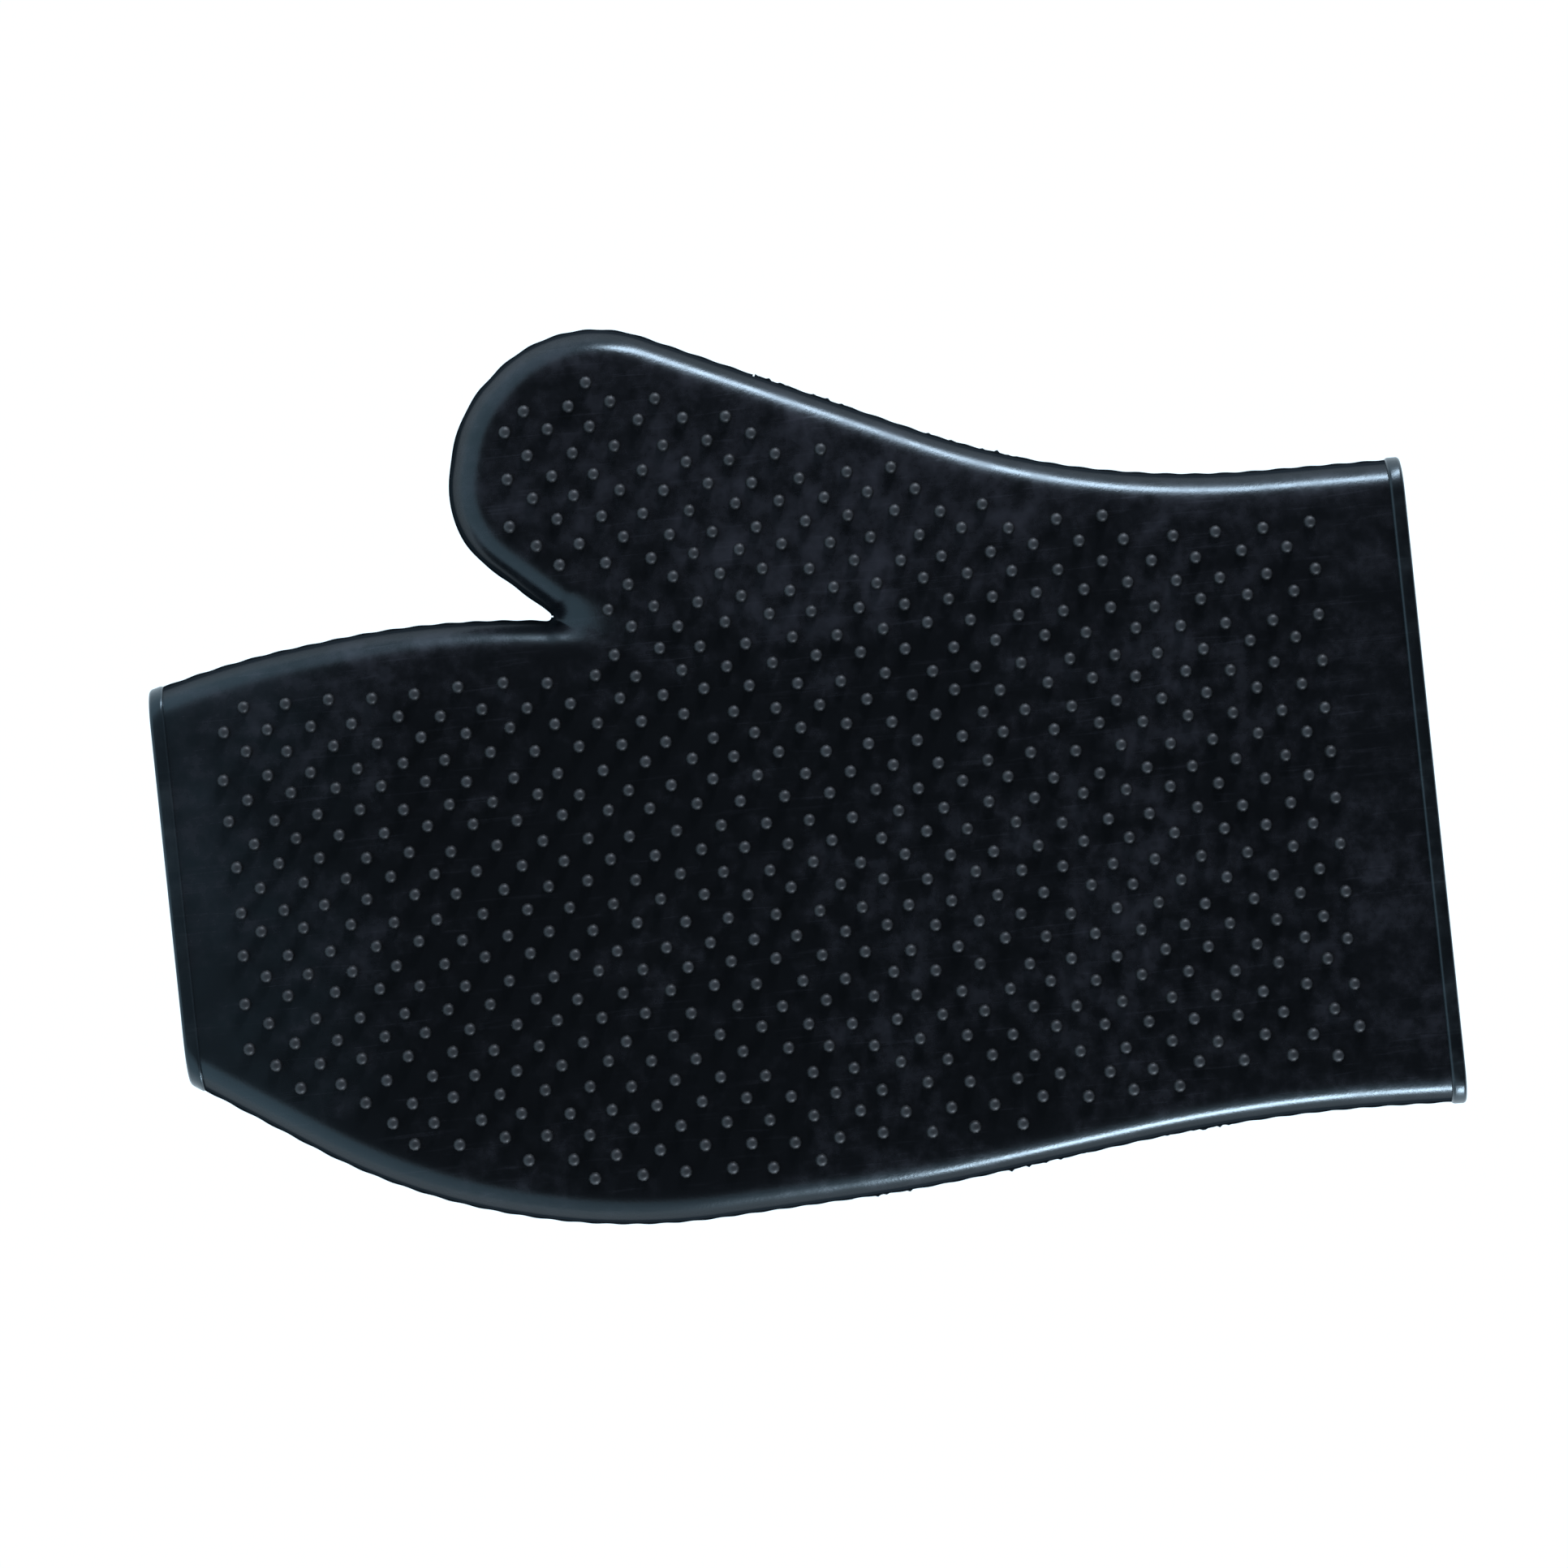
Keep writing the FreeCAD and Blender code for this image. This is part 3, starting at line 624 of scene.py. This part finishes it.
drop = node(nub_tree, "GeometryNodeRaycast", {"data_type": "FLOAT", "mapping": "INTERPOLATED"},
            {"Target Geometry": into.outputs["Geometry"], "Attribute": margin.outputs["Attribute"],
             "Ray Direction": towards.outputs[0], "Ray Length": 0.5})
hit = node(nub_tree, "ShaderNodeSeparateXYZ", inputs={"Vector": drop.outputs["Hit Position"]})
corner = node(nub_tree, "ShaderNodeSeparateXYZ", inputs={"Vector": into.outputs["Finger corner"]})
x = hit.outputs["X"]


def both(a, b):
    return node(nub_tree, "FunctionNodeBooleanMath", {"operation": "AND"}, {0: a, 1: b}).outputs[0]


def greater(a, b):
    return node(nub_tree, "FunctionNodeCompare", {"data_type": "FLOAT", "operation": "GREATER_THAN"},
                {0: a, 1: b}).outputs[0]


past_corner = both(greater(corner.outputs["X"], x), greater(hit.outputs["Y"], corner.outputs["Y"]))
in_field = node(nub_tree, "FunctionNodeBooleanMath", {"operation": "NOT"}, {0: past_corner}).outputs[0]
inside_outline = greater(drop.outputs["Attribute"], into.outputs["Edge margin"])
wanted = both(both(both(drop.outputs["Is Hit"], in_field), inside_outline),
              both(greater(x, into.outputs["Lowest X"]), greater(into.outputs["Highest X"], x)))
points = node(nub_tree, "GeometryNodeMeshToPoints", inputs={"Mesh": held.outputs[0], "Selection": wanted,
                                                            "Position": drop.outputs["Hit Position"]})
nub_shape = node(nub_tree, "GeometryNodeObjectInfo", inputs={"Object": into.outputs["Nub"]})
standing = sum_of("MULTIPLY", into.outputs["Height"], into.outputs["Facing"])
size = node(nub_tree, "ShaderNodeCombineXYZ", inputs={"X": into.outputs["Radius"], "Y": into.outputs["Radius"],
                                                      "Z": standing})
stood = node(nub_tree, "GeometryNodeInstanceOnPoints", inputs={"Points": points.outputs[0],
                                                               "Instance": nub_shape.outputs["Geometry"],
                                                               "Scale": size.outputs[0]})
real = node(nub_tree, "GeometryNodeRealizeInstances", inputs={0: stood.outputs[0]})
dressed = node(nub_tree, "GeometryNodeSetMaterial", inputs={"Geometry": real.outputs[0],
                                                            "Material": into.outputs["Material"]})
node(nub_tree, "NodeGroupOutput", inputs={0: dressed.outputs[0]})


def nub_form(name, profile, around):
    """A closed nub of unit radius and height from its outline, (radius, height) from foot to tip."""
    verts, faces = [(0, 0, profile[0][1])], []
    for radius, height in profile:
        for step in range(around):
            angle = 2 * math.pi * step / around
            verts.append((radius * math.cos(angle), radius * math.sin(angle), height))
    verts.append((0, 0, profile[-1][1] + (0.02 if profile[-1][0] < 0.6 else 0)))
    for ring in range(len(profile) - 1):
        for step in range(around):
            a, b = 1 + ring * around + step, 1 + ring * around + (step + 1) % around
            faces.append((a, b, b + around, a + around))
    top = 1 + (len(profile) - 1) * around
    for step in range(around):
        faces.append((0, 1 + (step + 1) % around, 1 + step))
        faces.append((len(verts) - 1, top + step, top + (step + 1) % around))
    mesh = bpy.data.meshes.new(name)
    mesh.from_pydata(verts, [], faces)
    mesh.shade_smooth()
    return bpy.data.objects.new(name, mesh)


# foot flared into the skin, short shank, rounded tip
fine_form = nub_form("fine nub", [(1.3, -0.12), (1.1, 0.06), (1.02, 0.5), (0.84, 0.8), (0.45, 0.96)], 10)
coarse_form = nub_form("coarse nub", [(1.25, -0.1), (1.25, 0.0), (1.04, 0.1), (0.78, 0.6), (0.62, 0.92),
                                      (0.52, 1.0), (0.3, 1.0)], 12)


def edge_margins(skin):
    """Stores on each point of a skin how far it lies inside the outline."""
    border = np.concatenate([thumb_side, little_side])
    attribute = skin.data.attributes.new("edge_margin", "FLOAT", "POINT")
    spots = np.array([v.co.xy for v in skin.data.vertices])
    margins = np.array([np.hypot(*(border - spot).T).min() for spot in spots])
    attribute.data.foreach_set("value", margins.astype(np.float32))


def grow_nubs(name, skin, form, material, values):
    """Runs the nub tree over a copy of a skin and keeps the result as a plain mesh."""
    carrier = bpy.data.objects.new(name + " carrier", skin.data.copy())
    bpy.context.collection.objects.link(carrier)
    modifier = carrier.modifiers.new("nubs", "NODES")
    modifier.node_group = nub_tree
    values = dict(values, Material=material, Nub=form)
    for input_name, value in values.items():
        modifier[nub_inputs[input_name]] = value
    evaluated = carrier.evaluated_get(bpy.context.evaluated_depsgraph_get())
    mesh = bpy.data.meshes.new_from_object(evaluated)
    mesh.name = name
    if values["Facing"] < 0:
        mesh.flip_normals()
    bpy.data.objects.remove(carrier)
    piece = bpy.data.objects.new(name, mesh)
    bpy.context.collection.objects.link(piece)
    return piece


def worn_and_sheened_nub_rubber(name, foot, tip, lowest, highest, roughness):
    """The same black rubber, greyer and matte towards the nubs' tips; on the fine nubs this is partly rubbed wear and
    partly painted sheen.
    """
    material = bpy.data.materials.new(name)
    material.use_nodes = True
    tree = material.node_tree
    shader = tree.nodes["Principled BSDF"]
    shader.inputs["IOR"].default_value = 1.52
    place = node(tree, "ShaderNodeTexCoord").outputs["Object"]
    height = node(tree, "ShaderNodeSeparateXYZ", inputs={"Vector": place}).outputs["Z"]
    # lighter towards the tips: on the fine nubs partly rubbed wear, partly painted sheen
    rubbed = node(tree, "ShaderNodeMapRange", {"interpolation_type": "SMOOTHSTEP"},
                  {"Value": height, "From Min": lowest, "From Max": highest})
    uneven = node(tree, "ShaderNodeTexNoise", inputs={"Vector": place, "Scale": 130.0, "Detail": 3.0})
    patchy = node(tree, "ShaderNodeMapRange", inputs={"Value": uneven.outputs["Fac"], "From Min": 0.3, "From Max": 0.7,
                                                      "To Min": 0.55, "To Max": 1.0})
    amount = node(tree, "ShaderNodeMath", {"operation": "MULTIPLY"}, {0: rubbed.outputs[0], 1: patchy.outputs[0]})
    colour = node(tree, "ShaderNodeMix", {"data_type": "RGBA"}, {"Factor": amount.outputs[0]})
    colour.inputs["A"].default_value = linear(foot)
    colour.inputs["B"].default_value = linear(tip)
    tree.links.new(colour.outputs["Result"], shader.inputs["Base Color"])
    shader.inputs["Roughness"].default_value = roughness
    return material


nub_rubber = worn_and_sheened_nub_rubber("fine nub rubber, black with rubbed tips and painted sheen", "#0b0c0e", "#35373b",
                             palm_face + 0.5 * mm, palm_face + 1.4 * mm, 0.55)
coarse_rubber = worn_and_sheened_nub_rubber("coarse nub rubber, black with rubbed tips", "#0a0c0f", "#2c2f34",
                                back_face - 1.5 * mm, back_face - 3.0 * mm, 0.45)
for skin in (palm_skin, thumb_palm_skin, back_skin, thumb_back_skin):
    edge_margins(skin)
fine_values = {"Pitch": nub_pitch, "Row": nub_row, "Start": pattern_start.to_3d(), "Tilt": pattern_tilt,
               "Lean": pattern_lean, "Growth": pattern_growth, "Scatter": 0.55 * mm, "Seed": 7,
               "Edge margin": 8.6 * mm, "Lowest X": field_start, "Highest X": field_end,
               "Finger corner": finger_corner, "Radius": 1.15 * mm, "Height": 1.7 * mm, "Facing": 1.0}
tilt_along = Vector((math.cos(pattern_tilt), math.sin(pattern_tilt)))
tilt_across = Vector((-math.sin(pattern_tilt), math.cos(pattern_tilt)))
coarse_start = pattern_start + tilt_across * nub_row / 2 - tilt_along * nub_pitch / 4
coarse_height = back_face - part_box("hand_coarse_nubs")[0].z
coarse_values = {"Pitch": 2 * nub_pitch, "Row": 2 * nub_row, "Start": coarse_start.to_3d(), "Tilt": pattern_tilt,
                 "Lean": 0.0, "Growth": 0.0, "Scatter": 0.2 * mm, "Seed": 11,
                 "Edge margin": 10.3 * mm, "Lowest X": field_start, "Highest X": field_end,
                 "Finger corner": no_corner, "Radius": 2.6 * mm, "Height": coarse_height, "Facing": -1.0}
fine_nubs = grow_nubs("fine_nubs", palm_skin, fine_form, nub_rubber, fine_values)
thumb_values = dict(fine_values, **{"Finger corner": no_corner})
thumb_fine_nubs = grow_nubs("fine_nubs_on_thumb", thumb_palm_skin, fine_form, nub_rubber, thumb_values)
coarse_nubs = grow_nubs("coarse_nubs", back_skin, coarse_form, coarse_rubber, coarse_values)
thumb_coarse_nubs = grow_nubs("coarse_nubs_on_thumb", thumb_back_skin, coarse_form, coarse_rubber, coarse_values)
bend_with_fingers(fine_nubs)
bend_with_fingers(coarse_nubs)
bend_with_thumb(thumb_fine_nubs)
bend_with_thumb(thumb_coarse_nubs)
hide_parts("hand_fine_nubs", "fingers_fine_nubs")
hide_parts("thumb_fine_nubs")
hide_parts("hand_coarse_nubs", "fingers_coarse_nubs")
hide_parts("thumb_coarse_nubs")

# ---------------------------------------------------------------- table, light and camera
# An opal light table, soft strip lights at both sides, and a long lens looking straight down.

floor_mesh = bpy.data.meshes.new("table_top")
reach = 3.0
table_height = min(0.0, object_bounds()[0][2])         # the lowest nub rests on it
floor_mesh.from_pydata([(-reach, -reach, table_height), (reach, -reach, table_height),
                        (reach, reach, table_height), (-reach, reach, table_height)], [], [(0, 1, 2, 3)])
floor = bpy.data.objects.new("table_top", floor_mesh)
bpy.context.collection.objects.link(floor)
glowing_board = bpy.data.materials.new("opal light table")
glowing_board.use_nodes = True
board = glowing_board.node_tree.nodes["Principled BSDF"]
board.inputs["Base Color"].default_value = linear("#000000")
board.inputs["Roughness"].default_value = 1.0
board.inputs["Specular IOR Level"].default_value = 0.0
board.inputs["Emission Color"].default_value = (1.0, 1.2, 1.35, 1.0)
board.inputs["Emission Strength"].default_value = 1.0
floor_mesh.materials.append(glowing_board)


view_turn = math.radians(-6)


def strip_light(name, place, size, roll, power, colour):
    """A soft rectangular light in the camera's own right, up and towards-camera, aimed at the mitt."""
    lamp = bpy.data.lights.new(name, "AREA")
    lamp.shape = "RECTANGLE"
    lamp.size, lamp.size_y = size
    lamp.energy = power
    lamp.color = linear(colour)[:3]
    light = bpy.data.objects.new(name, lamp)
    stands = Matrix.Rotation(view_turn, 4, "Z") @ Vector(place)
    aim = (-stands).to_track_quat("-Z", "Y").to_matrix() @ Matrix.Rotation(math.radians(roll), 3, "Z")
    light.location = stands
    light.rotation_euler = aim.to_euler()
    bpy.context.collection.objects.link(light)
    return light


strip_light("thumb side strip", (0.175, 0.80, 0.235), (0.45, 0.13), 48, 6.8, "#e9f1ff")
strip_light("little finger side softbox", (0.30, -0.80, 0.09), (0.22, 0.16), 0, 5.5, "#e6f2ff")

world = bpy.data.worlds.new("studio walls, pale below and dark overhead")
world.use_nodes = True
room = world.node_tree
room_place = node(room, "ShaderNodeTexCoord").outputs["Generated"]
facing_room = node(room, "ShaderNodeSeparateXYZ", inputs={"Vector": room_place})
wall_light = node(room, "ShaderNodeMapRange", {"interpolation_type": "SMOOTHSTEP"},
                  {"Value": facing_room.outputs["X"], "From Min": -0.6, "From Max": 0.5,
                   "To Min": 0.95, "To Max": 0.35})
height = node(room, "ShaderNodeMath", {"operation": "MULTIPLY_ADD"},
              {0: facing_room.outputs["X"], 1: 0.4, 2: facing_room.outputs["Z"]})
overhead = node(room, "ShaderNodeMapRange", {"interpolation_type": "SMOOTHSTEP"},
                {"Value": height.outputs[0], "From Min": 0.5, "From Max": 0.8})
room_colour = node(room, "ShaderNodeMix", {"data_type": "RGBA"}, {"Factor": overhead.outputs[0]})
room_colour.inputs["A"].default_value = (0.74, 1.0, 1.18, 1.0)
room_colour.inputs["B"].default_value = (1.02, 0.98, 1.06, 1.0)
dimming = node(room, "ShaderNodeMapRange", {"interpolation_type": "LINEAR"},
               {"Value": overhead.outputs[0], "To Min": 1.0, "To Max": 0.08})
brightness = node(room, "ShaderNodeMath", {"operation": "MULTIPLY"}, {0: wall_light.outputs[0], 1: dimming.outputs[0]})
background = room.nodes["Background"]
room.links.new(room_colour.outputs["Result"], background.inputs["Color"])
room.links.new(brightness.outputs[0], background.inputs["Strength"])
bpy.context.scene.world = world
bpy.context.scene.view_settings.view_transform = "Standard"

camera_data = bpy.data.cameras.new("camera")
camera_data.sensor_width = 36
camera_distance = 1.6
frame_width = 0.3167
camera_data.lens = camera_data.sensor_width * camera_distance / frame_width
camera = bpy.data.objects.new("camera", camera_data)
camera.location = (-0.0024, -0.0048, palm_face + camera_distance)
camera.rotation_euler = (0, 0, view_turn)
bpy.context.collection.objects.link(camera)
bpy.context.scene.camera = camera
